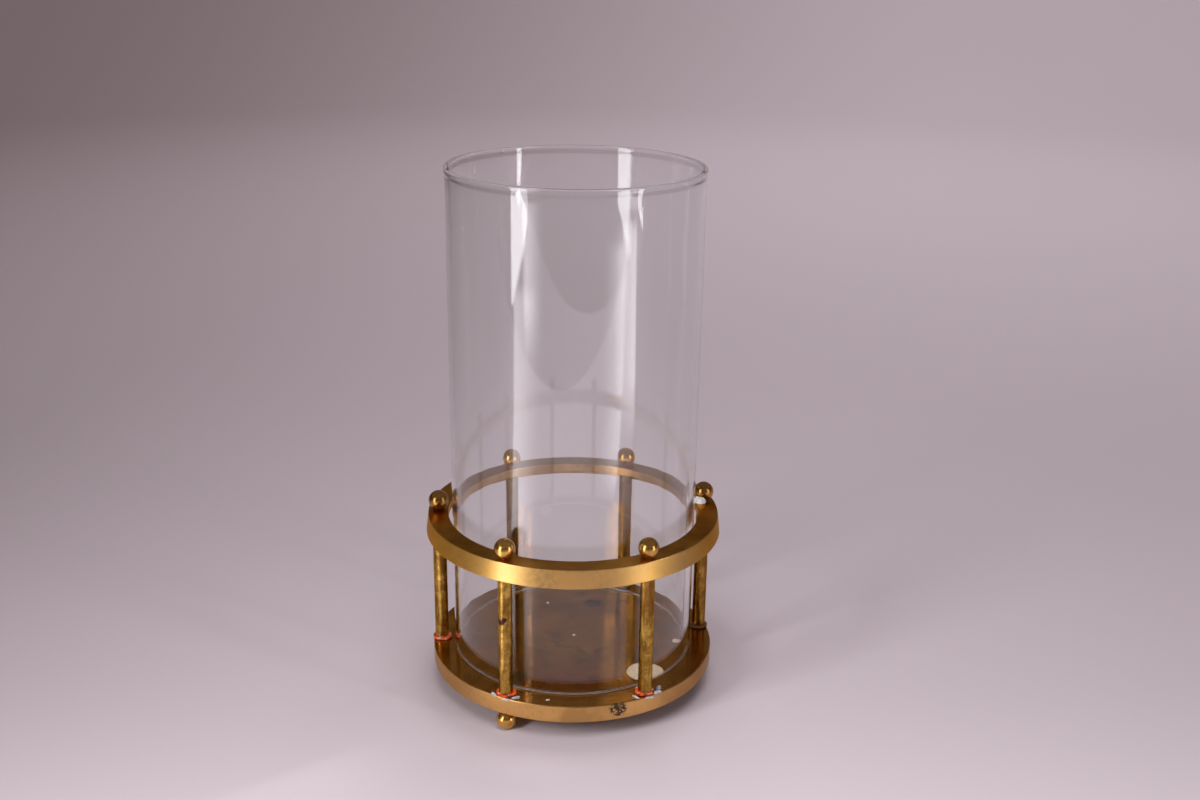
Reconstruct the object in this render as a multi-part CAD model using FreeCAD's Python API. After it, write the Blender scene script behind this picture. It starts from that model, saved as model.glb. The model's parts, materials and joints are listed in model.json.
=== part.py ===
import FreeCAD, Part
import math
import os

# Storm glass: a glass chimney standing loose in a cage of brass, with a flat base disc on
# three ball feet, six pillars, a skirted top ring and six ball finials.
# Millimetres, +Z up, origin on the floor under the middle of the base.  The front is -Y.

V = FreeCAD.Vector
UP = V(0, 0, 1)
CENTRE = V(0, 0, 0)

# ---- driving dimensions -------------------------------------------------------------
# places round the base, in degrees from +X; the maker set the pillars out by eye
PILLAR_ANGLES = (241.0, 300.5, 9.0, 63.5, 120.0, 181.0)
PILLAR_CIRCLE_R = 69.4
FOOT_UNDER = (0, 2, 4)          # every other pillar stands on a ball foot

FOOT_D = 10.2
FOOT_FLAT_D = 3.0               # worn flat each foot stands on
FOOT_NECK_D = 5.4
BASE_UNDER_Z = 10.2             # underside of the base above the floor

BASE_R = 73.6
BASE_T = 9.0
BASE_EDGE_R = 0.5               # broken edges of the turned disc

WASHER_D = 10.0                 # fibre washers for the M4 studs
WASHER_HOLE_D = 4.5
WASHER_T = 1.5
WASHER_IN = 0.2                 # pushed this far towards the middle, within the hole's play

PILLAR_D = 7.0
RING_TOP_Z = 93.3
RING_FLANGE_T = 4.6
RING_SKIRT_H = 9.6              # full depth of the outer skirt, from the top face
RING_IN_R = 64.4
RING_TOP_R = 74.6
RING_LOW_R = 75.8               # the outside face flares a little towards the bottom
RING_SKIRT_IN_R = 74.0
RING_EDGE_R = 0.4

BALL_D = 10.3
BALL_SEAT_D = 3.6               # small faced seat where each finial meets the ring

STUD_D = 4.0
STUD_FIT = 0.05                 # radial clearance round every stud
STUD_IN_BALL = 5.6
STUD_IN_FOOT = 5.2
STUD_IN_PILLAR = 10.0
PILLAR_HOLE_SPARE = 1.0         # each blind hole runs on this far past its stud
STUD_END = 0.4                  # chamfer on the stud ends

SCREW_D = 3.0                   # countersunk screws under the pillars that have no foot
SCREW_HEAD_D = 5.6
SCREW_CONE_H = 1.3
SCREW_SINK = 0.4                # the head lies this far below the underside of the base
SCREW_SLOT_W = 0.8
SCREW_SLOT_D = 0.7

GLASS_R = 62.5
GLASS_WALL = 2.5
GLASS_BOTTOM_GAP = 0.3
GLASS_TOP_Z = 270.0
GLASS_BEAD_R = 1.5              # fire-polished rim, swollen to the outside only
GLASS_BEAD_BLEND = 3.0          # height over which the rim runs back to the plain wall
GLASS_FOOT_CHAMFER = 0.4

OVERCUT = 1.0                   # how far a cutting tool runs past the face it opens

# ---- levels that follow -------------------------------------------------------------
BASE_TOP_Z = BASE_UNDER_Z + BASE_T
WASHER_TOP_Z = BASE_TOP_Z + WASHER_T
FLANGE_UNDER_Z = RING_TOP_Z - RING_FLANGE_T
SKIRT_LOW_Z = RING_TOP_Z - RING_SKIRT_H
STUD_HOLE_D = STUD_D + 2 * STUD_FIT
SCREW_HOLE_D = SCREW_D + 2 * STUD_FIT

os.makedirs("parts", exist_ok=True)


def save(name, shape):
    """Write one piece as its own STEP file."""
    shape.exportStep("parts/" + name + ".step")


def rod(d, z0, z1, at=CENTRE):
    """Upright cylinder between two levels."""
    return Part.makeCylinder(d / 2, z1 - z0, V(at.x, at.y, z0), UP)


def round_rod(d, z0, z1, at, chamfer):
    """Upright cylinder with both ends chamfered."""
    body = rod(d, z0, z1, at)
    ends = [e for e in body.Edges if abs(e.BoundBox.ZLength) < 1e-6]
    return body.makeChamfer(chamfer, ends)


def turned(points):
    """Solid of revolution about Z from a closed outline of (radius, height) points."""
    wire = Part.makePolygon([V(r, 0, z) for r, z in points + points[:1]])
    return Part.Face(wire).revolve(CENTRE, UP, 360)


def on_circle(angle, radius=PILLAR_CIRCLE_R):
    """Point on a circle round the axis of the glass."""
    a = math.radians(angle)
    return V(radius * math.cos(a), radius * math.sin(a), 0)


def soften(shape, radius, keep):
    """Round the circular edges that the test accepts."""
    edges = [e for e in shape.Edges if e.Curve.TypeId == "Part::GeomCircle" and keep(e)]
    return shape.makeFillet(radius, edges)


def ball(d, centre_z, at):
    return Part.makeSphere(d / 2, V(at.x, at.y, centre_z))


def seat_drop(d, seat_d):
    """How far a faced seat of this width lies from the middle of a ball."""
    return math.sqrt((d / 2) ** 2 - (seat_d / 2) ** 2)


# ---- base disc ----------------------------------------------------------------------
def base_disc(places):
    disc = rod(2 * BASE_R, BASE_UNDER_Z, BASE_TOP_Z)
    disc = soften(disc, BASE_EDGE_R, lambda e: True)
    for i, at in enumerate(places):
        disc = disc.cut(rod(low_hole_d(i), BASE_UNDER_Z - OVERCUT, BASE_TOP_Z + OVERCUT, at))
        if i not in FOOT_UNDER:
            disc = disc.cut(screw_sink(at))
    return disc


def low_hole_d(i):
    """Hole for the fastener that comes up through the base under pillar i."""
    return STUD_HOLE_D if i in FOOT_UNDER else SCREW_HOLE_D


def screw_sink(at):
    """Countersink in the underside of the base that takes a screw head."""
    head = SCREW_HEAD_D / 2 + STUD_FIT
    hole = SCREW_HOLE_D / 2
    z = BASE_UNDER_Z
    mouth = rod(2 * head, z - OVERCUT, z + SCREW_SINK, at)
    cone = Part.makeCone(head, hole, SCREW_CONE_H, V(at.x, at.y, z + SCREW_SINK), UP)
    return mouth.fuse(cone)


# ---- pieces that stand on the base --------------------------------------------------
def washer(at):
    mid = at * ((at.Length - WASHER_IN) / at.Length)
    disc = rod(WASHER_D, BASE_TOP_Z, WASHER_TOP_Z, mid)
    return disc.cut(rod(WASHER_HOLE_D, BASE_TOP_Z - OVERCUT, WASHER_TOP_Z + OVERCUT, mid))


def pillar(at, low_d):
    depth = STUD_IN_PILLAR + PILLAR_HOLE_SPARE
    low = rod(low_d, WASHER_TOP_Z - OVERCUT, WASHER_TOP_Z + depth, at)
    high = rod(STUD_HOLE_D, FLANGE_UNDER_Z - depth, FLANGE_UNDER_Z + OVERCUT, at)
    return rod(PILLAR_D, WASHER_TOP_Z, FLANGE_UNDER_Z, at).cut(low).cut(high)


# ---- top ring -----------------------------------------------------------------------
def top_ring(places):
    ring = turned([(RING_IN_R, RING_TOP_Z), (RING_TOP_R, RING_TOP_Z), (RING_LOW_R, SKIRT_LOW_Z),
                   (RING_SKIRT_IN_R, SKIRT_LOW_Z), (RING_SKIRT_IN_R, FLANGE_UNDER_Z),
                   (RING_IN_R, FLANGE_UNDER_Z)])
    ring = soften(ring, RING_EDGE_R, lambda e: not RING_IN_R < e.Curve.Radius < RING_TOP_R)
    for at in places:
        ring = ring.cut(rod(STUD_HOLE_D, FLANGE_UNDER_Z - OVERCUT, RING_TOP_Z + OVERCUT, at))
    return ring


# ---- finials, feet and fasteners ----------------------------------------------------
def ball_finial(at):
    mid = RING_TOP_Z + seat_drop(BALL_D, BALL_SEAT_D)
    below = rod(2 * BALL_D, RING_TOP_Z - BALL_D, RING_TOP_Z, at)
    hole = rod(STUD_HOLE_D, RING_TOP_Z - OVERCUT, RING_TOP_Z + STUD_IN_BALL, at)
    return ball(BALL_D, mid, at).cut(below).cut(hole)


def ball_foot(at):
    mid = seat_drop(FOOT_D, FOOT_FLAT_D)
    neck = rod(FOOT_NECK_D, mid, BASE_UNDER_Z, at)
    body = ball(FOOT_D, mid, at).fuse(neck).removeSplitter()
    body = body.cut(rod(2 * FOOT_D, -FOOT_D, 0, at))
    return body.cut(rod(STUD_HOLE_D, BASE_UNDER_Z - STUD_IN_FOOT, BASE_UNDER_Z + OVERCUT, at))


def upper_stud(at):
    return round_rod(STUD_D, FLANGE_UNDER_Z - STUD_IN_PILLAR, RING_TOP_Z + STUD_IN_BALL, at, STUD_END)


def foot_stud(at):
    return round_rod(STUD_D, BASE_UNDER_Z - STUD_IN_FOOT, WASHER_TOP_Z + STUD_IN_PILLAR, at, STUD_END)


def base_screw(at):
    z = BASE_UNDER_Z + SCREW_SINK
    head = Part.makeCone(SCREW_HEAD_D / 2, SCREW_D / 2, SCREW_CONE_H, V(at.x, at.y, z), UP)
    shank = rod(SCREW_D, z, WASHER_TOP_Z + STUD_IN_PILLAR, at)
    slot = Part.makeBox(SCREW_HEAD_D + 2 * OVERCUT, SCREW_SLOT_W, SCREW_SLOT_D + OVERCUT)
    slot.translate(V(at.x - SCREW_HEAD_D / 2 - OVERCUT, at.y - SCREW_SLOT_W / 2, z - OVERCUT))
    return head.fuse(shank).cut(slot)


# ---- glass chimney ------------------------------------------------------------------
def glass_chimney():
    foot_z = BASE_TOP_Z + GLASS_BOTTOM_GAP
    bead_z = GLASS_TOP_Z - GLASS_BEAD_R
    inner = GLASS_R - GLASS_WALL
    swell = inner + 2 * GLASS_BEAD_R
    outline = [(inner, bead_z), (inner, foot_z + GLASS_FOOT_CHAMFER), (inner + GLASS_FOOT_CHAMFER, foot_z),
               (GLASS_R - GLASS_FOOT_CHAMFER, foot_z), (GLASS_R, foot_z + GLASS_FOOT_CHAMFER),
               (GLASS_R, bead_z - GLASS_BEAD_BLEND), (swell, bead_z)]
    points = [V(r, 0, z) for r, z in outline]
    crown = Part.Arc(points[-1], V(inner + GLASS_BEAD_R, 0, GLASS_TOP_Z), points[0]).toShape()
    wire = Part.Wire(list(Part.makePolygon(points).Edges) + [crown])
    return Part.Face(wire).revolve(CENTRE, UP, 360)


places = [on_circle(angle) for angle in PILLAR_ANGLES]
save("base_disc", base_disc(places))
save("top_ring", top_ring(places))
save("glass_chimney", glass_chimney())
feet = screws = 0
for i, at in enumerate(places):
    n = str(i + 1)
    save("washer_" + n, washer(at))
    save("pillar_" + n, pillar(at, low_hole_d(i)))
    save("ball_finial_" + n, ball_finial(at))
    save("upper_stud_" + n, upper_stud(at))
    if i in FOOT_UNDER:
        feet += 1
        save("ball_foot_" + str(feet), ball_foot(at))
        save("foot_stud_" + str(feet), foot_stud(at))
    else:
        screws += 1
        save("base_screw_" + str(screws), base_screw(at))
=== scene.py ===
import json
import math

import bmesh
import bpy
from mathutils import Matrix, Vector, noise


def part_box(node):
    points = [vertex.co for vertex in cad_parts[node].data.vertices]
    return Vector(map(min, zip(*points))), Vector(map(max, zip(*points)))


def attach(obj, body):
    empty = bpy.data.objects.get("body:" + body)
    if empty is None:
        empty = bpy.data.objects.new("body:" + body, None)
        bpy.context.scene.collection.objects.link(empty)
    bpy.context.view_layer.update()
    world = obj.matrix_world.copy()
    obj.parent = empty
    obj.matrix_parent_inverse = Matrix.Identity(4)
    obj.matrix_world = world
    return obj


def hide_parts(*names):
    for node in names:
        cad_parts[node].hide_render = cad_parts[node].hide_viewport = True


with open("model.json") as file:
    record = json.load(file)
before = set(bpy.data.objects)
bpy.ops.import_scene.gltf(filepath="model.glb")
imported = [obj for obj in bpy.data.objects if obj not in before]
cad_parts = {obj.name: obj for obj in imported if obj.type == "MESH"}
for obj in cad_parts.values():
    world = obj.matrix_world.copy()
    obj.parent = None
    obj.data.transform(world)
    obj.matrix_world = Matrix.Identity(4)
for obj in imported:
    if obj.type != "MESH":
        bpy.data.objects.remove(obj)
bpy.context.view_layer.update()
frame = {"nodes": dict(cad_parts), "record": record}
nodes = frame["nodes"]
record = frame["record"]

MM = 0.001
UP = Vector((0, 0, 1))

# Places and sizes read from the CAD frame, in metres.
base_low, base_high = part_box("base_disc")
ring_low, ring_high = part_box("top_ring")
glass_low, glass_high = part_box("glass_chimney")
BASE_TOP = base_high.z
BASE_R = (base_high.x - base_low.x) / 2
RING_TOP = ring_high.z
RING_LOW_R = (ring_high.x - ring_low.x) / 2
GLASS_IN_R = next(m["dims"]["r_mm"] for m in record["mounts"] if m["name"] == "glass_mouth") * MM
PILLARS = range(1, 7)
FOOTED = (1, 3, 5)              # pillars with a ball foot under them

# Sizes of features that the CAD boxes don't give.
GLASS_WALL = 2.5 * MM
RIM_WALL = 3.0 * MM             # the wall at its thickest, in the fire-polished rim
RIM_HEIGHT = 1.5 * MM           # from the thickest place up to the top of the rim
RIM_BLEND = 3.0 * MM            # height over which the rim runs back to the plain wall
RIM_CORNER_R = 0.75 * MM
GLASS_CHAMFER = 0.1 * MM
STUD_HOLE_R = 2.05 * MM
SCREW_HOLE_R = 1.55 * MM
ROD_HOLE_DEPTH = 11 * MM
ROD_EDGE = 0.25 * MM
WASHER_HOLE_R = 2.25 * MM
RING_SKIRT_SPAN = (RING_LOW_R - 1.7 * MM, RING_LOW_R - 1.4 * MM)


def mm(*sizes):
    """Sizes in millimetres as a tuple in metres."""
    return tuple(size * MM for size in sizes)


def middle(node):
    """The middle of a CAD node's box."""
    low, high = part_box(node)
    return (low + high) / 2


# ---------------------------------------------------------------- meshes


def from_bmesh(name, bm, sharp_deg=40):
    """A smooth-shaded object from bm, with edges sharper than sharp_deg kept crisp."""
    bmesh.ops.recalc_face_normals(bm, faces=bm.faces)
    for face in bm.faces:
        face.smooth = True
    for edge in bm.edges:
        if len(edge.link_faces) == 2 and edge.calc_face_angle(0) > math.radians(sharp_deg):
            edge.smooth = False
    mesh = bpy.data.meshes.new(name)
    bm.to_mesh(mesh)
    bm.free()
    made = bpy.data.objects.new(name, mesh)
    bpy.context.scene.collection.objects.link(made)
    return made


def lathe(name, profile, segments, centre=(0, 0), loop=False, swell=None):
    """Turns profile, points of (radius, height), round the upright axis at centre. loop joins the last
    point to the first. swell(angle, radius, height) says how far the surface moves outward.
    """
    bm = bmesh.new()
    rows = []
    for radius, height in profile:
        if radius < 1e-6:
            rows.append([bm.verts.new((centre[0], centre[1], height))])
            continue
        row = []
        for k in range(segments):
            angle = 2 * math.pi * k / segments
            r = radius + (swell(angle, radius, height) if swell else 0)
            x, y = centre[0] + r * math.cos(angle), centre[1] + r * math.sin(angle)
            row.append(bm.verts.new((x, y, height)))
        rows.append(row)
    pairs = list(zip(rows, rows[1:]))
    if loop:
        pairs.append((rows[-1], rows[0]))
    for a, b in pairs:
        for k in range(segments):
            j = (k + 1) % segments
            if len(a) == 1:
                bm.faces.new((a[0], b[j], b[k]))
            elif len(b) == 1:
                bm.faces.new((a[k], a[j], b[0]))
            else:
                bm.faces.new((a[k], a[j], b[j], b[k]))
    return from_bmesh(name, bm)


def arc(centre, radius, start_deg, end_deg, steps):
    """Points of an arc in the (radius, height) plane, both ends included."""
    turns = [math.radians(start_deg + (end_deg - start_deg) * k / steps) for k in range(steps + 1)]
    return [(centre[0] + radius * math.cos(t), centre[1] + radius * math.sin(t)) for t in turns]


def ripple(seed, *place):
    """Smooth noise from -1 to 1 at a place given in units of its own grain."""
    return noise.noise(Vector(place) + Vector((seed * 7.3, seed * 3.1, seed * 5.7)))


# ---------------------------------------------------------------- materials

# Colours of the aged brass. The zones below that are tied to a side of the object (spans of r.x and r.y)
# were set from tones sampled in the photograph. On the brass they are painted light and shade: they fall
# on the same sides of separate pieces, as lighting does, and are not the metal's colour.
GOLD = (0.71, 0.41, 0.080)
OLIVE = (0.47, 0.30, 0.070)
BROWN = (0.66, 0.33, 0.085)
UMBER = (0.36, 0.165, 0.038)
WARM_EDGE = (0.90, 0.66, 0.38, 1)     # tint of old brass seen at a low angle


class Recipe:
    """A material's node tree, written as short calls that return output sockets."""

    def __init__(self, name):
        self.material = bpy.data.materials.new(name)
        self.material.use_nodes = True
        self.tree = self.material.node_tree
        self.tree.nodes.clear()
        self.place = self.node("TexCoord").outputs["Object"]
        self.x, self.y, self.z = self.node("SeparateXYZ", {0: self.place}).outputs

    def node(self, kind, inputs=None, **settings):
        made = self.tree.nodes.new("ShaderNode" + kind)
        for name, value in settings.items():
            setattr(made, name, value)
        for key, value in (inputs or {}).items():
            if isinstance(value, bpy.types.NodeSocket):
                self.tree.links.new(value, made.inputs[key])
            else:
                made.inputs[key].default_value = value
        return made

    def math(self, operation, *values):
        return self.node("Math", dict(enumerate(values)), operation=operation).outputs[0]

    def vector(self, x, y, z):
        return self.node("CombineXYZ", {0: x, 1: y, 2: z}).outputs[0]

    def noise(self, scale, detail=4.0, roughness=0.55, at=None, distortion=0.0):
        wanted = {"Vector": at or self.place, "Scale": scale, "Detail": detail,
                  "Roughness": roughness, "Distortion": distortion}
        return self.node("TexNoise", wanted).outputs[0]

    def span(self, value, low, high):
        """0 where value is below low, 1 above high, smooth between; low may be the larger one."""
        wanted = {"Value": value, "From Min": low, "From Max": high}
        return self.node("MapRange", wanted, interpolation_type="SMOOTHSTEP").outputs[0]

    def scaled(self, value, low, high):
        """value from 0 to 1 taken to low..high."""
        return self.node("MapRange", {"Value": value, "To Min": low, "To Max": high}).outputs[0]

    def blend(self, factor, a, b):
        """Colour a at factor 0 and b at factor 1."""
        made = self.node("Mix", {0: factor}, data_type="RGBA", blend_type="MIX", clamp_factor=True)
        for socket, value in ((made.inputs[6], a), (made.inputs[7], b)):
            if isinstance(value, bpy.types.NodeSocket):
                self.tree.links.new(value, socket)
            else:
                socket.default_value = (*value, 1)
        return made.outputs[2]

    def plus(self, a, b):
        return self.math("ADD", a, b)

    def minus(self, a, b):
        return self.math("SUBTRACT", a, b)

    def times(self, first, *others):
        """The product; with masks, the area that they all cover."""
        for other in others:
            first = self.math("MULTIPLY", first, other)
        return first

    def most(self, a, b):
        """The larger of two; with masks, the area that either covers."""
        return self.math("MAXIMUM", a, b)

    def flip(self, mask):
        return self.minus(1.0, mask)

    def radius(self):
        """Distance from the upright axis."""
        return self.math("SQRT", self.plus(self.times(self.x, self.x), self.times(self.y, self.y)))

    def away(self, centre, at=None):
        """Distance from the point centre."""
        wanted = {0: at or self.place, 1: centre}
        return self.node("VectorMath", wanted, operation="DISTANCE").outputs["Value"]

    def angle(self):
        """Turn round the upright axis, in radians from +X."""
        return self.math("ARCTAN2", self.y, self.x)

    def spot(self, centre, size, ragged=0.35, grain=260.0, soft=0.25):
        """A mask for a blot of that half-size round centre, with a ragged outline."""
        share = self.math("DIVIDE", self.away(centre), size)
        worn = self.plus(share, self.times(self.minus(self.noise(grain), 0.5), 2 * ragged))
        return self.span(worn, 1.0 + soft / 2, 1.0 - soft / 2)

    def bump(self, height, depth, strength=1.0, over=None):
        wanted = {"Height": height, "Distance": depth, "Strength": strength}
        if over is not None:
            wanted["Normal"] = over
        return self.node("Bump", wanted).outputs[0]

    def principled(self, **inputs):
        wanted = {name.replace("_", " "): value for name, value in inputs.items()}
        return self.node("BsdfPrincipled", wanted).outputs[0]

    def done(self, surface):
        self.node("OutputMaterial", {"Surface": surface})
        return self.material


def brushed_round(r, turn, radius, height):
    """Fine turning marks that run round the upright axis."""
    along = r.times(turn, 2.2 * MM)
    return r.noise(3200.0, 2.0, 0.6, at=r.vector(along, radius, height))


def ring_brass():
    """Satin gold outside, with turning marks and a smudge; brown satin top; plain inside.

    Painted light: the right side is darkened as painted shade, both sides are left without lacquer so
    they reflect less, and the top's bright front and pale back are painted reflections.
    """
    r = Recipe("aged_brass_ring")
    radius, turn = r.radius(), r.angle()
    marks = brushed_round(r, turn, radius, r.z)
    cloud = r.noise(55.0, 4.0, 0.55)
    fine = r.noise(650.0, 4.0, 0.6)
    outside = r.span(radius, *RING_SKIRT_SPAN)
    top = r.times(r.span(r.z, RING_TOP - 0.5 * MM, RING_TOP - 0.1 * MM), r.flip(outside))
    face = r.blend(r.span(cloud, 0.42, 0.72), GOLD, (0.62, 0.36, 0.085))
    face = r.blend(r.times(r.span(fine, 0.52, 0.72), r.span(cloud, 0.4, 0.6), 0.7), face, OLIVE)
    smudge = r.spot(mm(-16.5, -73.3, 87.5), 8.0 * MM, 0.55, 190.0, 0.8)
    smudge = r.times(smudge, r.span(r.noise(420.0, 3.0), 0.42, 0.62))
    face = r.blend(r.times(smudge, 0.45), face, (0.36, 0.23, 0.06))
    streak = r.noise(300.0, 3.0, 0.6, at=r.vector(r.times(turn, 12 * MM), radius, r.z))
    dark = r.blend(r.span(cloud, 0.32, 0.72), BROWN, UMBER)
    dark = r.blend(r.times(r.span(streak, 0.50, 0.75), 0.5), dark, (0.60, 0.33, 0.10))
    inner = r.blend(r.span(cloud, 0.35, 0.65), (0.62, 0.38, 0.13), (0.44, 0.24, 0.07))
    # painted shade: the outer face is darkened at the right side
    painted_shade_flank = r.span(r.x, 42 * MM, 66 * MM)
    face = r.blend(r.times(painted_shade_flank, 0.65), face, (0.38, 0.20, 0.065))
    # painted shade: no lacquer at the left side either, so both sides reflect less
    coat_shade_left = r.span(r.x, -32 * MM, -58 * MM)
    # painted reflection: the front of the top is lightened
    painted_reflection_front = r.span(r.y, -54 * MM, -68 * MM)
    dark = r.blend(r.times(painted_reflection_front, 0.6), dark, (0.80, 0.42, 0.12))
    # painted reflection: the back of the top is paled
    painted_reflection_back = r.span(r.y, 25 * MM, 55 * MM)
    dark = r.blend(r.times(painted_reflection_back, 0.8), dark, (0.78, 0.60, 0.47))
    colour = r.blend(outside, r.blend(top, inner, dark), face)
    rough_face = r.plus(r.scaled(cloud, 0.31, 0.44), r.scaled(marks, -0.04, 0.04))
    rough_top = r.plus(r.scaled(cloud, 0.28, 0.38), r.scaled(streak, -0.04, 0.06))
    rough = r.plus(r.times(outside, rough_face), r.times(r.flip(outside), rough_top))
    normal = r.bump(fine, 0.05 * MM, 0.20, r.bump(marks, 0.02 * MM, 0.35))
    tangent = r.node("Tangent", direction_type="RADIAL", axis="Z").outputs[0]
    # the lacquer coat is dropped at both sides as painted shade
    coat = r.scaled(r.times(outside, r.flip(r.most(painted_shade_flank, coat_shade_left))), 0.02, 1.0)
    return r.done(r.principled(Base_Color=colour, Metallic=1.0, Roughness=rough, Normal=normal,
                               Anisotropic=0.50, Anisotropic_Rotation=0.25, Tangent=tangent,
                               Specular_Tint=WARM_EDGE, Coat_Weight=coat, Coat_Roughness=0.18,
                               Coat_IOR=1.6))


def base_brass():
    """Brown, nearly mirror-bright top with scratches, stains, a cream patch that is a painted reflection
    and a small pink spot; satin gold edge, stained in two places; brown underside.

    Painted light: the sides of the edge are darkened as painted shade, and the front of the top is
    lightened as a painted reflection.
    """
    r = Recipe("aged_brass_base")
    radius, turn = r.radius(), r.angle()
    marks = brushed_round(r, turn, radius, r.z)
    cloud = r.noise(45.0, 5.0, 0.6)
    fine = r.noise(520.0, 4.0, 0.6)
    side = r.span(radius, BASE_R - 0.6 * MM, BASE_R - 0.25 * MM)
    top = r.span(r.z, BASE_TOP - 0.4 * MM, BASE_TOP - 0.1 * MM)
    along_x = r.noise(900.0, 2.0, 0.5, at=r.vector(r.times(r.x, 0.07), r.y, r.z), distortion=0.6)
    along_y = r.noise(800.0, 2.0, 0.5, at=r.vector(r.x, r.times(r.y, 0.06), r.z), distortion=0.5)
    scratch = r.most(r.span(along_x, 0.62, 0.70), r.span(along_y, 0.64, 0.72))
    face = r.blend(r.span(cloud, 0.4, 0.68), (0.74, 0.42, 0.13), (0.52, 0.29, 0.085))
    face = r.blend(r.span(fine, 0.55, 0.75), face, OLIVE)
    # painted shade: the edge is darkened at its right and left sides
    painted_shade_right = r.times(r.span(r.x, 30 * MM, 60 * MM), 0.75)
    painted_shade_left = r.times(r.span(r.x, -38 * MM, -62 * MM), 0.5)
    face = r.blend(r.most(painted_shade_right, painted_shade_left), face, (0.33, 0.165, 0.055))
    stain = r.times(r.spot(mm(21.5, -70.4, 16.0), 4.3 * MM, 0.5, 330.0, 0.35),
                   r.span(r.noise(700.0, 3.0, 0.6), 0.42, 0.50))
    stain = r.most(stain, r.spot(mm(73.5, -3.5, 15.5), 1.5 * MM, 0.4, 420.0, 0.3))
    face = r.blend(stain, face, (0.075, 0.045, 0.025))
    brown = r.blend(r.span(cloud, 0.35, 0.65), (0.58, 0.285, 0.075), (0.41, 0.195, 0.050))
    cloudy = r.noise(95.0, 4.0, 0.6, distortion=1.2)
    brown = r.blend(r.times(r.span(cloudy, 0.50, 0.66), 0.55), brown, (0.21, 0.115, 0.050))
    worn_rim = r.times(r.span(radius, 66 * MM, 71 * MM), r.span(fine, 0.40, 0.60))
    brown = r.blend(r.times(worn_rim, 0.35), brown, (0.52, 0.28, 0.08))
    brown = r.blend(r.times(scratch, 0.30), brown, (0.55, 0.33, 0.12))
    # painted reflection: the front of the top is lightened
    brown = r.blend(r.times(r.span(r.y, -56 * MM, -66 * MM), 0.35), brown, (0.78, 0.42, 0.12))
    blue = r.times(r.spot((12.5 * MM, 38.5 * MM, BASE_TOP), 4.6 * MM, 0.6, 240.0, 0.5), 0.8)
    green = r.times(r.spot((-27.6 * MM, -44.5 * MM, BASE_TOP), 5.5 * MM, 0.5, 220.0, 0.7), 0.7)
    brown = r.blend(blue, brown, (0.07, 0.09, 0.16))
    brown = r.blend(green, brown, (0.05, 0.13, 0.10))
    # painted reflection: a cream patch, matt and not metal, stands in for a glare on the top
    cream = r.spot((36.0 * MM, -38.5 * MM, BASE_TOP), 9.2 * MM, 0.10, 150.0, 0.10)
    pink = r.spot((55.6 * MM, -6.1 * MM, BASE_TOP), 2.2 * MM, 0.5, 420.0, 0.3)
    glare_and_film = r.times(r.most(cream, pink), top)
    glare_and_film_colour = r.blend(r.span(fine, 0.35, 0.7), (0.80, 0.64, 0.46), (0.64, 0.49, 0.34))
    brown = r.blend(glare_and_film, brown, glare_and_film_colour)
    under = r.blend(r.span(cloud, 0.35, 0.65), BROWN, UMBER)
    colour = r.blend(side, r.blend(top, under, brown), face)
    rough_side = r.plus(r.scaled(cloud, 0.26, 0.42), r.scaled(marks, -0.05, 0.05))
    rough_top = r.plus(r.scaled(cloud, 0.10, 0.22), r.times(r.most(scratch, worn_rim), 0.06))
    rough_top = r.plus(rough_top, r.times(glare_and_film, 0.45))
    rough = r.plus(r.times(side, rough_side), r.times(r.flip(side), rough_top))
    metal = r.flip(r.times(glare_and_film, r.flip(side)))
    normal = r.bump(fine, 0.04 * MM, 0.10, r.bump(r.plus(scratch, glare_and_film), 0.03 * MM, 0.30))
    return r.done(r.principled(Base_Color=colour, Metallic=metal, Roughness=rough, Normal=normal,
                               Specular_Tint=WARM_EDGE, Coat_Weight=r.scaled(side, 0.02, 0.45),
                               Coat_Roughness=0.25))


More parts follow.
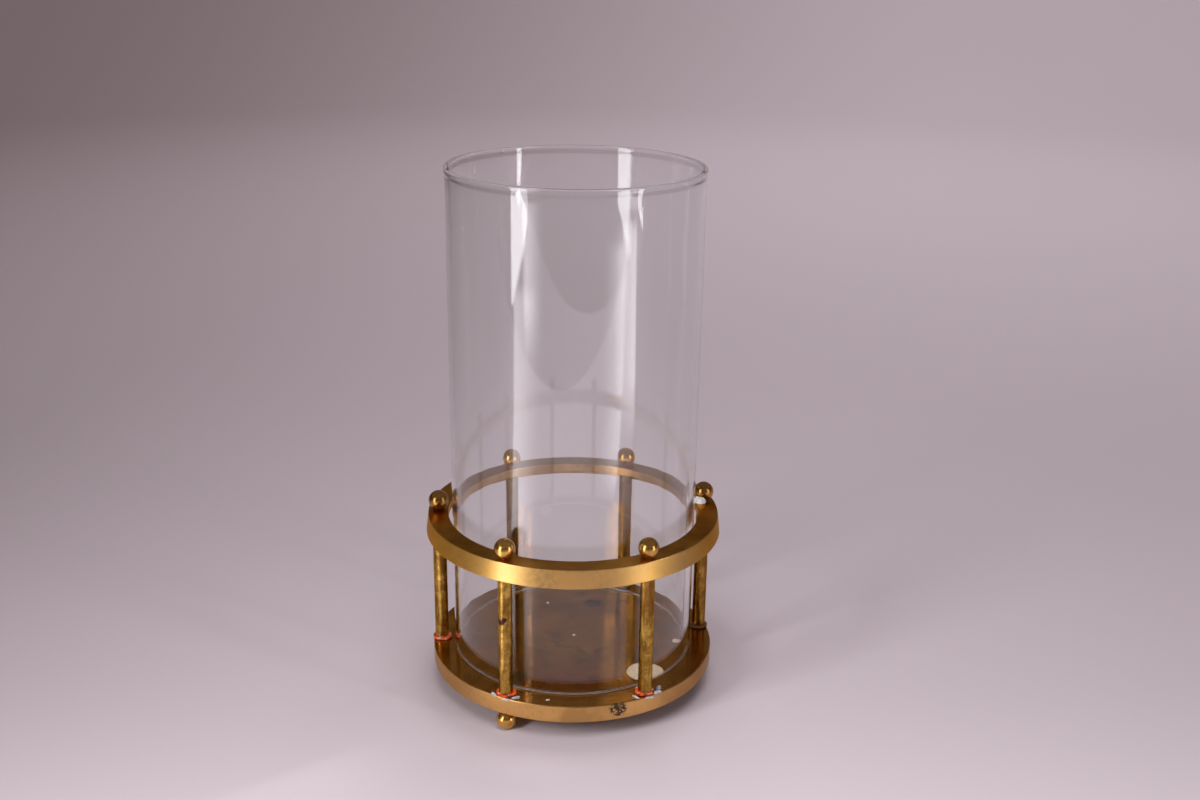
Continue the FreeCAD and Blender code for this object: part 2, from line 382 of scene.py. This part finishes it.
def rod_brass():
    """Mottled, slightly pitted yellow-brown rod with upright smears. The front left pillar has a gouge,
    and the front right one is burnt and smeared red at the top.

    Painted shade: the right and back pillars are darkened.
    """
    r = Recipe("mottled_brass_rod")
    smear = r.noise(330.0, 4.0, 0.6, at=r.vector(r.x, r.y, r.times(r.z, 0.20)), distortion=0.8)
    blotch = r.noise(210.0, 5.0, 0.65, distortion=0.4)
    speck = r.noise(1500.0, 3.0, 0.6)
    colour = r.blend(r.span(blotch, 0.40, 0.62), (0.56, 0.345, 0.075), (0.31, 0.165, 0.027))
    colour = r.blend(r.times(r.span(smear, 0.48, 0.64), 0.85), colour, (0.17, 0.080, 0.014))
    colour = r.blend(r.times(r.span(speck, 0.56, 0.68), 0.7), colour, (0.09, 0.043, 0.010))
    gouge_middle = mm(-36.4, -63.2, 62.4)
    away = r.plus(r.away(gouge_middle), r.times(r.minus(r.noise(500.0), 0.5), 2.2 * MM))
    gouge = r.times(r.span(away, 1.1 * MM, 1.6 * MM), r.span(away, 3.9 * MM, 3.3 * MM),
                   r.span(r.z, 63.4 * MM, 62.4 * MM))
    colour = r.blend(gouge, colour, (0.060, 0.024, 0.018))
    burnt = r.spot(mm(36.0, -62.5, 74.0), 8.5 * MM, 0.5, 150.0, 0.9)
    # painted shade: the right pillar is darkened
    painted_shade_side = r.span(r.x, 52 * MM, 60 * MM)
    burn_and_painted_shade = r.most(r.times(burnt, 0.6), r.times(painted_shade_side, 0.45))
    colour = r.blend(burn_and_painted_shade, colour, (0.20, 0.080, 0.016))
    # painted shade: the back pillars are darkened
    painted_shade_back = r.span(r.y, 25 * MM, 45 * MM)
    colour = r.blend(r.times(painted_shade_back, 0.75), colour, (0.13, 0.070, 0.024))
    red_smear = r.spot(mm(33.6, -62.9, 82.2), 1.3 * MM, 0.5, 500.0, 0.4)
    colour = r.blend(r.times(red_smear, 0.8), colour, (0.50, 0.060, 0.020))
    rough = r.plus(r.scaled(blotch, 0.20, 0.34), r.scaled(speck, -0.04, 0.08))
    normal = r.bump(speck, 0.07 * MM, 0.35, r.bump(r.plus(smear, blotch), 0.12 * MM, 0.35))
    return r.done(r.principled(Base_Color=colour, Metallic=1.0, Roughness=rough, Normal=normal,
                               Specular_Tint=WARM_EDGE, Coat_Weight=0.05, Coat_Roughness=0.2))


def ball_brass():
    """Turned and polished ball with a thin brown tarnish.

    Painted shade: the left and right balls are darkened.
    """
    r = Recipe("polished_brass_ball")
    cloud = r.noise(180.0, 5.0, 0.6, distortion=0.5)
    speck = r.noise(1300.0, 4.0, 0.6)
    colour = r.blend(r.span(cloud, 0.38, 0.66), (0.80, 0.46, 0.11), (0.58, 0.31, 0.060))
    colour = r.blend(r.times(r.span(speck, 0.55, 0.72), 0.5), colour, (0.26, 0.12, 0.030))
    # painted shade: the right and left balls are darkened, the back one not
    painted_shade_right = r.times(r.span(r.x, 12 * MM, 60 * MM), 0.75)
    painted_shade_left = r.times(r.span(r.x, -45 * MM, -62 * MM), 0.7)
    painted_shade_side = r.times(r.most(painted_shade_right, painted_shade_left), r.span(r.y, 40 * MM, 25 * MM))
    colour = r.blend(painted_shade_side, colour, (0.36, 0.165, 0.035))
    rough = r.plus(r.scaled(cloud, 0.16, 0.27), r.scaled(speck, -0.02, 0.06))
    normal = r.bump(speck, 0.03 * MM, 0.25)
    return r.done(r.principled(Base_Color=colour, Metallic=1.0, Roughness=rough, Normal=normal,
                               Coat_Weight=0.30, Coat_Roughness=0.10))


def fastener_brass():
    """As-turned brass of the studs and the slotted screws."""
    r = Recipe("turned_brass_fastener")
    cloud = r.noise(600.0, 4.0, 0.6)
    rounds = r.vector(r.times(r.x, 0.1), r.times(r.y, 0.1), r.z)
    turned = r.noise(2600.0, 2.0, 0.5, at=rounds)
    colour = r.blend(r.span(cloud, 0.4, 0.7), (0.70, 0.44, 0.14), OLIVE)
    rough = r.plus(r.scaled(cloud, 0.24, 0.42), r.scaled(turned, -0.04, 0.06))
    return r.done(r.principled(Base_Color=colour, Metallic=1.0, Roughness=rough,
                               Normal=r.bump(turned, 0.03 * MM, 0.4)))


def red_fibre():
    """Red vulcanised fibre, chipped pale round its edge, and brown under the right and back pillars.

    The right one looks brown in the photograph, perhaps for want of light, and the back ones are hidden.
    """
    r = Recipe("red_fibre_washer")
    generated = r.node("TexCoord").outputs["Generated"]
    across = r.away((0.5, 0.5, 0.5), at=generated)
    grain = r.noise(900.0, 4.0, 0.65)
    patch = r.noise(420.0, 3.0, 0.5)
    # brown at the right and back, set by place alone
    brown_right_and_back = r.most(r.span(r.x, 50 * MM, 58 * MM), r.span(r.y, 12 * MM, 28 * MM))
    pale = r.times(r.span(across, 0.47, 0.56), r.span(patch, 0.57, 0.63), r.flip(brown_right_and_back))
    colour = r.blend(r.span(grain, 0.35, 0.7), (0.80, 0.110, 0.010), (0.50, 0.055, 0.010))
    colour = r.blend(r.span(r.noise(300.0, 3.0, 0.5), 0.50, 0.62), colour, (0.13, 0.035, 0.020))
    colour = r.blend(brown_right_and_back, colour, (0.115, 0.052, 0.018))
    colour = r.blend(pale, colour, (0.56, 0.50, 0.48))
    return r.done(r.principled(Base_Color=colour, Roughness=r.scaled(grain, 0.45, 0.70),
                               Specular_IOR_Level=0.25, Normal=r.bump(grain, 0.12 * MM, 0.6)))


def dried_wax(name, light, shade):
    """Crusty residue, a little see-through like old wax, from a light to a shaded colour."""
    r = Recipe(name)
    grain = r.noise(1100.0, 4.0, 0.65)
    patch = r.noise(420.0, 4.0, 0.6)
    colour = r.blend(r.span(patch, 0.38, 0.64), light, shade)
    return r.done(r.principled(Base_Color=colour, Roughness=r.scaled(grain, 0.38, 0.70),
                               Subsurface_Weight=0.15, Subsurface_Scale=0.5 * MM,
                               Normal=r.bump(grain, 0.10 * MM, 0.6)))


def clear_glass():
    """Drawn glass, clear, with faint lines along the tube, a little dust and a ground foot. Lamps shine
    through it and leave an edge shadow, and light caught in the wall is let out.
    """
    r = Recipe("clear_drawn_glass")
    around = r.times(r.angle(), GLASS_IN_R)
    lines = r.noise(190.0, 3.0, 0.6, at=r.vector(around, r.times(r.z, 0.035), r.radius()))
    dust = r.span(r.noise(1700.0, 2.0, 0.6), 0.70, 0.80)
    normal = r.bump(lines, 0.05 * MM, 0.35)
    ground_foot = r.span(r.z, glass_low.z + 0.9 * MM, glass_low.z + 0.3 * MM)
    rough = r.plus(r.scaled(dust, 0.0, 0.05), r.times(ground_foot, 0.45))
    glass = r.principled(Base_Color=(0.985, 0.992, 0.990, 1), Roughness=rough, IOR=1.5,
                         Transmission_Weight=1.0, Normal=normal)
    facing = r.node("LayerWeight", {"Blend": 0.35}).outputs["Facing"]
    edge_shadow = r.blend(r.span(facing, 0.45, 1.0), (0.96, 0.965, 0.965), (0.40, 0.41, 0.42))
    open_way = r.node("BsdfTransparent", {"Color": edge_shadow}).outputs[0]
    path = r.node("LightPath")
    lamp_or_bounce = r.most(path.outputs["Is Shadow Ray"], path.outputs["Is Diffuse Ray"])
    lit = r.node("MixShader", {0: lamp_or_bounce, 1: glass, 2: open_way}).outputs[0]
    most_turns = 4.5
    trapped = r.math("GREATER_THAN", path.outputs["Ray Depth"], most_turns)
    let_out = r.node("BsdfTransparent").outputs[0]
    return r.done(r.node("MixShader", {0: trapped, 1: lit, 2: let_out}).outputs[0])


def paint(piece, material):
    """Gives a piece that one material."""
    if not piece.material_slots:
        piece.data.materials.append(material)
    for place in piece.material_slots:
        place.material = material


# ---------------------------------------------------------------- pieces


def glass_tube(material):
    """The glass: a slightly uneven drawn tube with a ground foot, and a small blemish in its rim."""
    out_r = GLASS_IN_R + GLASS_WALL
    rim_r = GLASS_IN_R + RIM_WALL
    rim_z = glass_high.z
    bead_z = rim_z - RIM_HEIGHT
    wall_rows = 34
    blend_rows = 8
    blemish_turn = math.radians(127)
    blemish_w = 0.9 * MM

    def wave(angle, radius, height):
        side = 1 if radius > GLASS_IN_R + MM else 2
        # In millimetres: long swells, fine ones, and the blemish in the rim.
        long_way = 0.030 * math.sin(2 * angle + 0.8 * side)
        long_way += 0.016 * math.sin(5 * angle + 2.1 * side + 9 * height)
        short_way = 0.007 * math.sin(13 * angle + side + 14 * height)
        short_way += 0.004 * math.sin(29 * angle + 4 * side)
        away = (angle - blemish_turn) * radius
        blemish = 0.35 * math.exp(-(away / blemish_w) ** 2) * (height > bead_z - MM)
        return (long_way + short_way + blemish) * MM

    def climb(start, end, rows):
        return [start + (end - start) * k / rows for k in range(rows + 1)]

    low = glass_low.z
    outer = [(out_r, z) for z in climb(low + GLASS_CHAMFER, bead_z - RIM_BLEND, wall_rows)]
    swell = []
    for k in range(1, blend_rows):
        share = k / blend_rows
        ease = share * share * (3 - 2 * share)
        swell.append((out_r + (rim_r - out_r) * ease, bead_z - RIM_BLEND * (1 - share)))
    corner_z = rim_z - RIM_CORNER_R
    rim = arc((rim_r - RIM_CORNER_R, corner_z), RIM_CORNER_R, 0, 90, 8)
    rim += [((rim_r + GLASS_IN_R) / 2, rim_z)]
    rim += arc((GLASS_IN_R + RIM_CORNER_R, corner_z), RIM_CORNER_R, 90, 180, 8)
    inner = [(GLASS_IN_R, z) for z in climb(bead_z - RIM_BLEND, low + GLASS_CHAMFER, wall_rows)]
    foot = [(GLASS_IN_R + GLASS_CHAMFER, low), (out_r - GLASS_CHAMFER, low)]
    made = lathe("glass_tube", outer + swell + rim + inner + foot, 320, loop=True, swell=wave)
    paint(made, material)
    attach(made, "glass")
    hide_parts("glass_chimney")


def pillar_rod(number, material):
    """One pillar: a hand-finished rod, a little uneven, drilled at both ends for its studs."""
    node = f"pillar_{number}"
    low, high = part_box(node)
    centre = middle(node)
    rod_r = (high.x - low.x) / 2
    low_hole_r = STUD_HOLE_R if number in FOOTED else SCREW_HOLE_R
    rows = 56

    def uneven(angle, radius, height):
        if radius < rod_r - ROD_EDGE * 1.5:
            return 0
        # In millimetres: shallow dents some 9 mm long, and a fine unevenness.
        away = Vector((math.cos(angle), math.sin(angle), 0)) * 1.3
        dent = ripple(number, away.x, away.y, height / (9 * MM)) * 0.09
        grain = ripple(number + 20, away.x * 3, away.y * 3, height / (2.4 * MM)) * 0.035
        return (dent + grain) * MM

    low_end = low.z + ROD_HOLE_DEPTH
    high_end = high.z - ROD_HOLE_DEPTH
    wall_h = high.z - low.z - 2 * ROD_EDGE
    profile = [(0, low_end), (low_hole_r, low_end), (low_hole_r, low.z), (rod_r - ROD_EDGE, low.z)]
    profile += [(rod_r, low.z + ROD_EDGE + wall_h * k / rows) for k in range(rows + 1)]
    profile += [(rod_r - ROD_EDGE, high.z), (STUD_HOLE_R, high.z)]
    profile += [(STUD_HOLE_R, high_end), (0, high_end)]
    made = lathe(f"pillar_rod_{number}", profile, 48, centre, swell=uneven)
    paint(made, material)
    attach(made, "cage")
    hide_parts(node)


def squeezed_washer(number, material):
    """One fibre washer, squeezed out unevenly under its pillar."""
    node = f"washer_{number}"
    low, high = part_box(node)
    centre = middle(node)
    out_r = (high.x - low.x) / 2
    bulge = (high.z - low.z) / 2

    def ragged(angle, radius, height):
        if radius < WASHER_HOLE_R + MM:
            return 0
        share = (radius - WASHER_HOLE_R) / (out_r - WASHER_HOLE_R)
        # In millimetres: wide lobes and small nicks, growing towards the edge.
        over, up = math.cos(angle), math.sin(angle)
        lobes = 0.45 * ripple(number, 1.6 * over, 1.6 * up, 0)
        nicks = 0.16 * ripple(number + 9, 5 * over, 5 * up, height / MM)
        return share * (lobes + nicks) * MM

    edge_r = out_r - bulge
    edge = arc((edge_r, low.z + bulge), bulge, -90, 90, 10)
    top = [(edge_r - (edge_r - WASHER_HOLE_R) * k / 6, high.z) for k in range(1, 7)]
    bottom = [(WASHER_HOLE_R, low.z)]
    made = lathe(f"squeezed_washer_{number}", edge + top + bottom, 64, centre, loop=True, swell=ragged)
    paint(made, material)
    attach(made, "cage")
    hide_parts(node)


def crumb(name, centre, length, width, height, turn_deg, seed, material):
    """A thin ragged crumb of residue lying on a level surface at centre."""
    bm = bmesh.new()
    count = 22
    turn = Matrix.Rotation(math.radians(turn_deg), 4, "Z")
    # Shares of the reach and of the height, from the underside to the top.
    layers = ((0.55, -0.02), (1.0, 0.0), (0.96, 0.5), (0.72, 0.92), (0.35, 1.0))
    rows = []
    for share, level in layers:
        row = []
        for k in range(count):
            angle = 2 * math.pi * k / count
            over, up = math.cos(angle), math.sin(angle)
            reach = 1 + 0.38 * ripple(seed, 1.4 * over, 1.4 * up, 0)
            reach += 0.16 * ripple(seed + 5, 4 * over, 4 * up, share)
            flat = turn @ Vector((over * length / 2, up * width / 2, 0))
            lift = height * level * (1 + 0.25 * ripple(seed + 2, 3 * over, 3 * up, share))
            row.append(bm.verts.new(Vector(centre) + flat * reach * share + UP * lift))
        rows.append(row)
    for a, b in zip(rows, rows[1:]):
        for k in range(count):
            j = (k + 1) % count
            bm.faces.new((a[k], a[j], b[j], b[k]))
    bm.faces.new(rows[0])
    bm.faces.new(rows[-1])
    made = from_bmesh(name, bm, 60)
    paint(made, material)
    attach(made, "cage")


def residue():
    """Small dried drips and chips left on the base and the ring."""
    white = dried_wax("white_residue", (0.62, 0.60, 0.59), (0.36, 0.34, 0.34))
    slate = dried_wax("slate_residue", (0.52, 0.53, 0.58), (0.22, 0.23, 0.29))
    chalk = dried_wax("chalky_residue", (0.92, 0.90, 0.88), (0.66, 0.64, 0.63))
    top = BASE_TOP
    ring = RING_TOP
    # Name, x and y in mm, the surface, length, width and thickness in mm, turn in degrees, material.
    drips = (
        ("drip_pillar_2_a", 41.6, -60.0, top, 5.2, 2.6, 0.7, 30, slate),
        ("drip_pillar_2_b", 42.6, -55.6, top, 4.2, 2.2, 0.6, 75, slate),
        ("drip_pillar_2_c", 37.6, -65.3, top, 5.4, 1.5, 0.6, 12, white),
        ("drip_pillar_2_d", 30.4, -64.6, top, 4.2, 1.4, 0.5, -40, white),
        ("drip_pillar_1_a", -28.9, -64.9, top, 4.0, 1.9, 0.6, 20, slate),
        ("drip_pillar_1_b", -39.6, -61.4, top, 4.2, 1.8, 0.5, -60, slate),
        ("drip_pillar_1_c", -33.4, -66.7, top, 5.4, 1.3, 0.5, -5, white),
        ("drip_pillar_6_a", -70.3, -1.6, top, 4.0, 1.3, 0.5, 15, white),
        ("speck_front", -12.9, -67.0, top, 2.2, 1.1, 0.3, 10, white),
        ("speck_middle", 0.8, 0.9, top, 1.5, 1.1, 0.3, 40, white),
        ("speck_back", -13.8, 38.6, top, 1.5, 1.2, 0.3, 80, white),
        ("chip_finial_3", 66.3, 7.2, ring, 6.2, 5.0, 3.2, -8, chalk),
        ("chip_finial_2", 28.6, -57.9, ring, 2.0, 1.0, 0.4, 20, white),
    )
    for seed, (name, x, y, level, length, width, height, turn, material) in enumerate(drips):
        crumb(name, (x * MM, y * MM, level), length * MM, width * MM, height * MM, turn, seed, material)


# ---------------------------------------------------------------- studio


def stage_material():
    """Pale lilac paper with a faint fibre, with painted shade that darkens it to the left, behind the
    object and up the wall.
    """
    r = Recipe("studio_paper")
    grain = r.noise(240.0, 4.0, 0.6)
    cloud = r.noise(2.2, 3.0, 0.5)
    # painted shade: the paper darkens to the left and towards the far side
    leftward = r.minus(r.times(r.y, 0.3), r.times(r.x, 0.9))
    far = r.span(leftward, -0.1, 1.7)
    colour = r.blend(far, (0.66, 0.585, 0.635), (0.40, 0.325, 0.34))
    colour = r.blend(r.scaled(cloud, 0.0, 0.12), colour, (0.50, 0.43, 0.46))
    # painted shade at the back of the object
    behind = r.scaled(r.span(r.y, -0.20, 0.0), 0.0, 0.22)
    colour = r.blend(behind, colour, (0.30, 0.25, 0.27))
    # painted shade up the wall
    high = r.span(r.z, 0.35, 1.0)
    colour = r.blend(high, colour, (0.10, 0.075, 0.07))
    return r.done(r.principled(Base_Color=colour, Roughness=r.scaled(grain, 0.55, 0.75),
                               Specular_IOR_Level=0.25, Normal=r.bump(grain, 0.02 * MM, 0.3)))


def cyclorama():
    """A round pale floor that curves up into a low wall: the same plain backdrop in every view."""
    floor_r = 2.2
    bend = 0.8
    wall_top = 1.3
    profile = [(floor_r * k / 8, 0) for k in range(9)]
    profile += arc((floor_r, bend), bend, -84, 0, 14)
    profile.append((floor_r + bend, wall_top))
    made = lathe("studio_floor", profile, 96)
    paint(made, stage_material())


def only_mirrored(r, surface):
    """Shows surface to rays that something has already mirrored, and nothing to all others."""
    turns = r.node("LightPath").outputs["Glossy Depth"]
    mirrored = r.math("GREATER_THAN", turns, 0.5)
    nothing = r.node("BsdfTransparent").outputs[0]
    return r.done(r.node("MixShader", {0: mirrored, 1: nothing, 2: surface}).outputs[0])


def mirrored_panel(name, corners, material):
    """A flat studio panel that reflections show and the camera doesn't."""
    bm = bmesh.new()
    bm.faces.new([bm.verts.new(corner) for corner in corners])
    made = from_bmesh(name, bm)
    paint(made, material)
    made.visible_camera = False
    made.visible_diffuse = False
    made.visible_shadow = False


def dark_room():
    """The unlit room past the front edge of the table."""
    r = Recipe("dark_room")
    colour = r.blend(r.noise(3.0), (0.035, 0.028, 0.027), (0.055, 0.045, 0.043))
    material = only_mirrored(r, r.principled(Base_Color=colour, Roughness=0.9))
    level = 2 * MM                  # just over the table
    outline = ((-1.10, -0.34), (1.00, -0.84), (1.30, -1.90), (-1.60, -1.90))
    mirrored_panel("dark_room_floor", [(x, y, level) for x, y in outline], material)


def table_sheen(name, sharp_deg, soft_deg, near, far, radiance):
    """The streak a panel leaves on the satin table, between two turns round the object. Only reflections
    show it: sharp at the first turn, fading out towards the second.
    """
    r = Recipe(name)
    share = r.math("DIVIDE", r.minus(r.angle(), math.radians(sharp_deg)),
                   math.radians(soft_deg - sharp_deg))
    across = r.times(r.span(share, 0.0, 0.06), r.span(share, 1.0, 0.0))
    along = r.times(r.span(r.radius(), near, near * 1.6), r.span(r.radius(), far, far * 0.9))
    glow = r.scaled(r.times(across, along), 0.0, radiance)
    shine = r.node("Emission", {"Color": (1.0, 0.96, 1.0, 1), "Strength": glow}).outputs[0]
    over = r.node("BsdfTransparent").outputs[0]
    material = only_mirrored(r, r.node("AddShader", {0: over, 1: shine}).outputs[0])
    material.cycles.emission_sampling = "NONE"      # it lights nothing
    level = 3 * MM                  # just over the dark room
    turns = [math.radians(sharp_deg + (soft_deg - sharp_deg) * k / 6) for k in range(7)]
    corners = [(far * math.cos(t), far * math.sin(t), level) for t in turns]
    corners += [(near * math.cos(t), near * math.sin(t), level) for t in reversed(turns)]
    mirrored_panel(name, corners, material)


def hang(lamp, matrix):
    """Puts a lamp in the scene, where nothing shows it but the light that it throws."""
    made = bpy.data.objects.new(lamp.name, lamp)
    made.matrix_world = matrix
    bpy.context.scene.collection.objects.link(made)
    made.visible_camera = False
    made.visible_glossy = False
    made.visible_transmission = False


def soft_panel(name, start, end, height, radiance, watts):
    """A tall soft light that stands between two floor points. Reflections show the panel itself, at that
    radiance, and a lamp in its plane lights the table.
    """
    a, b = Vector((*start, 0)), Vector((*end, 0))
    r = Recipe(name)
    glow = r.scaled(r.noise(2.0), 0.96 * radiance, 1.04 * radiance)
    shine = r.node("Emission", {"Color": (1.0, 0.985, 1.0, 1), "Strength": glow}).outputs[0]
    material = only_mirrored(r, shine)
    material.cycles.emission_sampling = "NONE"      # it lights nothing
    mirrored_panel(name, (a, b, b + UP * height, a + UP * height), material)
    lamp = bpy.data.lights.new(name + "_lamp", "AREA")
    lamp.shape = "RECTANGLE"
    lamp.size = (b - a).length
    lamp.size_y = 0.6 * height
    lamp.energy = watts
    centre = (a + b) / 2 + UP * 0.8 * height
    along = (b - a).normalized()
    back = along.cross(UP)
    if back.dot(centre) < 0:
        along, back = -along, -back
    hang(lamp, Matrix.Translation(centre) @ Matrix((along, UP, back)).transposed().to_4x4())


def overhead_light(name, place, size, watts):
    """Large soft fill from above, for the table and backdrop only: no reflection shows it."""
    lamp = bpy.data.lights.new(name, "AREA")
    lamp.shape = "DISK"
    lamp.size = size
    lamp.energy = watts
    lamp.color = (1.0, 0.97, 0.99)
    hang(lamp, Matrix.Translation(place))


def lighting():
    """Two tall panels with their streaks on the table, soft fill from above, and a dim warm room."""
    soft_panel("left_panel", (-0.694, -0.464), (-0.838, -0.924), height=0.75, radiance=6.0, watts=16.0)
    soft_panel("right_panel", (1.024, -0.653), (1.165, -0.874), height=0.80, radiance=11.0, watts=8.0)
    table_sheen("left_sheen", sharp_deg=-145.0, soft_deg=-116.0, near=0.10, far=0.95, radiance=2.7)
    table_sheen("right_sheen", sharp_deg=-37.0, soft_deg=-60.0, near=0.40, far=1.30, radiance=3.6)
    overhead_light("near_fill", (0.0, -0.30, 0.50), size=0.30, watts=1.1)
    overhead_light("far_fill", (0.50, 1.50, 1.7), size=2.0, watts=27.0)
    world = bpy.data.worlds.new("dim_room")
    world.use_nodes = True
    background = world.node_tree.nodes["Background"].inputs
    background["Color"].default_value = (0.85, 0.72, 0.70, 1)
    background["Strength"].default_value = 0.22
    bpy.context.scene.world = world
    bpy.context.scene.view_settings.view_transform = "Standard"


def camera():
    """The camera, at the photograph's place and angle. Its yaw, pitch and roll are in radians."""
    place = Vector((-0.0111, -0.6829, 0.3863))
    yaw, pitch, roll = 0.036, 0.356, 0.0145
    look = Vector((math.sin(yaw) * math.cos(pitch), math.cos(yaw) * math.cos(pitch), -math.sin(pitch)))
    level = Vector((math.cos(yaw), -math.sin(yaw), 0))
    over = level.cross(look)
    right = level * math.cos(roll) + over * math.sin(roll)
    up = over * math.cos(roll) - level * math.sin(roll)
    data = bpy.data.cameras.new("camera")
    data.sensor_width = 36.0
    data.lens = 42.99
    data.shift_x = -0.0004
    data.shift_y = 0.0311
    data.clip_start = 0.01
    made = bpy.data.objects.new("camera", data)
    made.matrix_world = Matrix.Translation(place) @ Matrix((right, up, -look)).transposed().to_4x4()
    bpy.context.scene.collection.objects.link(made)
    bpy.context.scene.camera = made


# ---------------------------------------------------------------- assembly


def dress_cad_nodes():
    """Aged brass on the brass CAD nodes. The pillars, washers and glass are replaced below."""
    by_slot = {
        "brass_base": base_brass(),
        "brass_ring": ring_brass(),
        "brass_ball": ball_brass(),
        "brass_fastener": fastener_brass(),
    }
    for part in record["subparts"]:
        if part["material_slot"] in by_slot:
            piece = nodes[part["node"]]
            paint(piece, by_slot[part["material_slot"]])


dress_cad_nodes()
glass_tube(clear_glass())
rod_material, fibre_material = rod_brass(), red_fibre()
for pillar in PILLARS:
    pillar_rod(pillar, rod_material)
    squeezed_washer(pillar, fibre_material)
residue()
cyclorama()
dark_room()
lighting()
camera()
